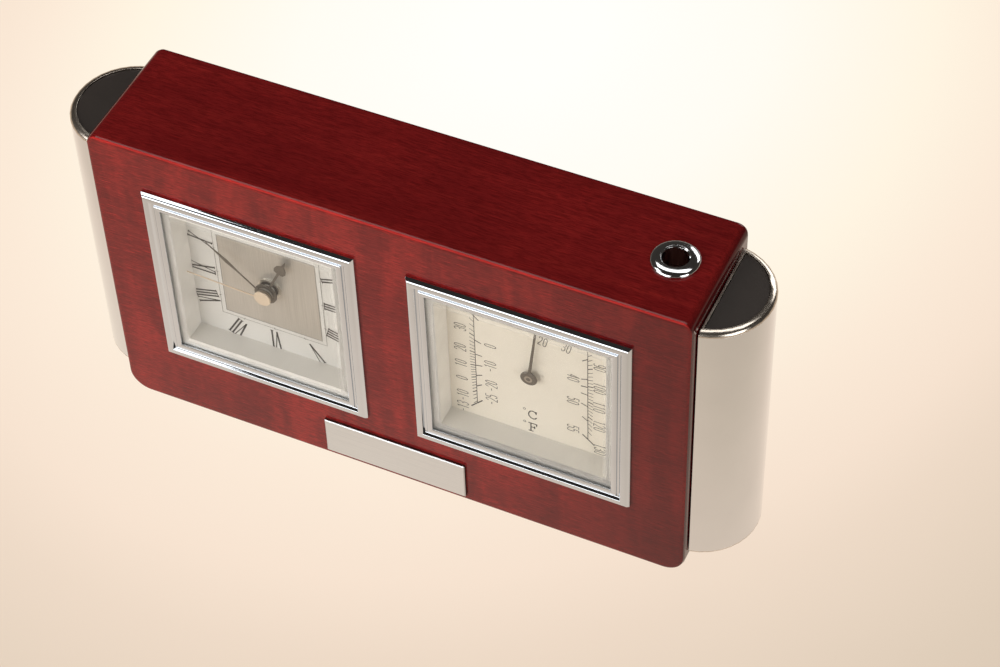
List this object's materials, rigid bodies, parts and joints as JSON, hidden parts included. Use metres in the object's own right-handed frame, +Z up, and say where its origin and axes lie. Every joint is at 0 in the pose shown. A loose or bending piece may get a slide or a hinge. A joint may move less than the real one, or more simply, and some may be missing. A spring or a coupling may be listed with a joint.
{
  "type": "desk pen holder with clock and thermometer",
  "caption": "Lacquered wood desk block with a square quartz clock, a square dial thermometer, a bare engraving plate, chrome half-round side columns and a socket for a pen.",
  "frame": {"origin": "centre of the whole object's footprint, at the underside of the felt pad", "axes": "+X to the right seen from the front, along the length; +Y to the back; +Z up; the dials face -Y"},
  "size_m": [0.1906, 0.0382, 0.0973],
  "materials": {
    "lacquered_wood": "deep red rosewood grain under clear gloss lacquer",
    "felt_pad": "short black felt",
    "satin_plate": "satin silver, bare",
    "chrome": "mirror-polished chrome",
    "black_inlay": "satin black",
    "black_plastic": "fine moulded black",
    "grey_plastic": "semi-gloss light grey",
    "rubber_band": "soft black rubber",
    "clear_lens": "clear polished",
    "clock_dial": "white ring round a silver-grey brushed square, with black figures",
    "thermometer_dial": "matte cream with black scales",
    "gunmetal": "dark bronze-grey satin",
    "cream": "satin cream",
    "steel": "bright plated",
    "brass": "plain",
    "acetal": "natural white",
    "copper_winding": "enamelled copper wire",
    "circuit_board": "green solder mask"
  },
  "bodies": {
    "body": {"wood_body": "lacquered_wood", "base_pad": "felt_pad", "engraving_plate": "satin_plate", "pen_socket_ring": "chrome", "pen_socket_tube": "black_plastic", "left_column_shell": "chrome", "left_column_mount": "black_plastic", "left_column_screw_lower": "steel", "left_column_screw_upper": "steel", "left_column_top_cap": "chrome", "left_column_top_inlay": "black_inlay", "left_column_bottom_cap": "chrome", "left_column_bottom_inlay": "black_inlay", "right_column_shell": "chrome", "right_column_mount": "black_plastic", "right_column_screw_lower": "steel", "right_column_screw_upper": "steel", "right_column_top_cap": "chrome", "right_column_top_inlay": "black_inlay", "right_column_bottom_cap": "chrome", "right_column_bottom_inlay": "black_inlay"},
    "clock_insert": {"clock_bezel": "chrome", "clock_lens": "clear_lens", "clock_well": "grey_plastic", "clock_dial": "clock_dial", "clock_case": "black_plastic", "clock_fit_band": "rubber_band", "centre_nut": "steel", "movement_base": "black_plastic", "bridge_plate": "acetal", "movement_cover": "black_plastic", "stator": "steel", "coil_bobbin": "steel", "coil_winding": "copper_winding", "circuit_board": "circuit_board", "battery": "steel", "battery_contact": "steel"},
    "minute": {"minute_hand": "gunmetal", "cannon_pinion": "acetal"},
    "hour": {"hour_hand": "gunmetal", "hour_wheel": "acetal"},
    "minute_works": {"minute_works_wheel": "acetal"},
    "setting": {"setting_knob": "acetal"},
    "second": {"second_hand": "cream", "seconds_wheel": "acetal"},
    "third": {"third_wheel": "acetal"},
    "centre": {"centre_wheel": "acetal"},
    "intermediate": {"intermediate_wheel": "acetal"},
    "rotor": {"rotor": "acetal"},
    "hatch": {"battery_hatch": "black_plastic"},
    "thermometer_insert": {"thermometer_bezel": "chrome", "thermometer_lens": "clear_lens", "thermometer_well": "grey_plastic", "thermometer_dial": "thermometer_dial", "thermometer_case": "black_plastic", "thermometer_fit_band": "rubber_band", "coil_bracket": "brass", "bimetal_coil": "brass"},
    "pointer": {"thermometer_pointer": "gunmetal"}
  },
  "joints": [
    {"name": "clock_insert_slide", "type": "slide", "parent": "body", "child": "clock_insert", "axis": [0, -1, 0], "range_m": [0, 0.02]},
    {"name": "thermometer_insert_slide", "type": "slide", "parent": "body", "child": "thermometer_insert", "axis": [0, -1, 0], "range_m": [0, 0.02]},
    {"name": "minute_hand_turn", "type": "hinge", "parent": "clock_insert", "child": "minute", "pos_m": [-0.0371, -0.01087, 0.0523], "axis": [0, 1, 0], "continuous": true},
    {"name": "hour_hand_turn", "type": "hinge", "parent": "clock_insert", "child": "hour", "pos_m": [-0.0371, -0.01087, 0.0523], "axis": [0, 1, 0], "continuous": true},
    {"name": "minute_works_turn", "type": "hinge", "parent": "clock_insert", "child": "minute_works", "pos_m": [-0.0371, -0.01087, 0.0591], "axis": [0, 1, 0], "continuous": true},
    {"name": "setting_knob_turn", "type": "hinge", "parent": "clock_insert", "child": "setting", "pos_m": [-0.03886, -0.01087, 0.06567], "axis": [0, 1, 0], "continuous": true},
    {"name": "second_hand_turn", "type": "hinge", "parent": "clock_insert", "child": "second", "pos_m": [-0.0371, -0.01087, 0.0523], "axis": [0, 1, 0], "continuous": true},
    {"name": "third_wheel_turn", "type": "hinge", "parent": "clock_insert", "child": "third", "pos_m": [-0.02843, -0.01087, 0.0523], "axis": [0, 1, 0], "continuous": true},
    {"name": "centre_wheel_turn", "type": "hinge", "parent": "clock_insert", "child": "centre", "pos_m": [-0.0371, -0.01087, 0.0523], "axis": [0, 1, 0], "continuous": true},
    {"name": "intermediate_wheel_turn", "type": "hinge", "parent": "clock_insert", "child": "intermediate", "pos_m": [-0.04016, -0.01087, 0.047], "axis": [0, 1, 0], "continuous": true},
    {"name": "rotor_turn", "type": "hinge", "parent": "clock_insert", "child": "rotor", "pos_m": [-0.04569, -0.01087, 0.04499], "axis": [0, 1, 0], "continuous": true},
    {"name": "battery_hatch_turn", "type": "hinge", "parent": "clock_insert", "child": "hatch", "pos_m": [-0.0513, 0, 0.0611], "axis": [0, 1, 0], "range_deg": [0, 60]},
    {"name": "thermometer_pointer_turn", "type": "hinge", "parent": "thermometer_insert", "child": "pointer", "pos_m": [0.0371, -0.01087, 0.0523], "axis": [0, 1, 0], "range_deg": [-146.5, 132.7]}
  ],
  "couplings": [
    {"joint": "hour_hand_turn", "follows": "minute_hand_turn", "ratio": 0.083333},
    {"joint": "minute_works_turn", "follows": "minute_hand_turn", "ratio": -0.33333},
    {"joint": "setting_knob_turn", "follows": "minute_hand_turn", "ratio": 1},
    {"joint": "third_wheel_turn", "follows": "second_hand_turn", "ratio": -0.13333},
    {"joint": "centre_wheel_turn", "follows": "second_hand_turn", "ratio": 0.016667},
    {"joint": "intermediate_wheel_turn", "follows": "second_hand_turn", "ratio": -5},
    {"joint": "rotor_turn", "follows": "second_hand_turn", "ratio": 30}
  ]
}
